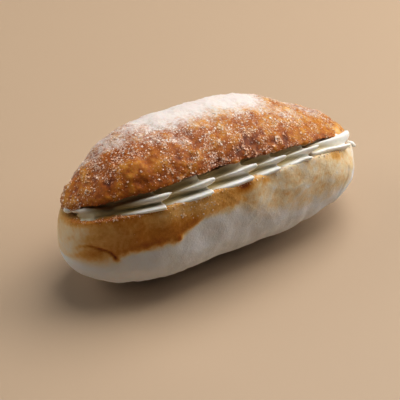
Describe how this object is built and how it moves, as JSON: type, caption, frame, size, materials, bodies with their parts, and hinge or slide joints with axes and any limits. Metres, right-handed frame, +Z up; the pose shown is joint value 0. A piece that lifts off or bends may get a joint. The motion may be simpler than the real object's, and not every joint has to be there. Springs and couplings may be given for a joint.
{
  "type": "butter bun",
  "caption": "Oblong soft bread bun with a sugared golden crown, slit along its front shoulder and filled with butter cream piped in overlapping ridged shells.",
  "frame": {"origin": "centre of the footprint, on the surface that the bun rests on", "axes": "+X along the bun's length towards its lower, blunter end, -Y towards the front where the slit opens, +Z up"},
  "size_m": [0.15, 0.0688, 0.0678],
  "materials": {
    "crust": "baked, golden brown, sugared",
    "cream": "soft ivory butter cream"
  },
  "bodies": {
    "root": {"bun": "crust", "cream": "cream"}
  },
  "joints": []
}
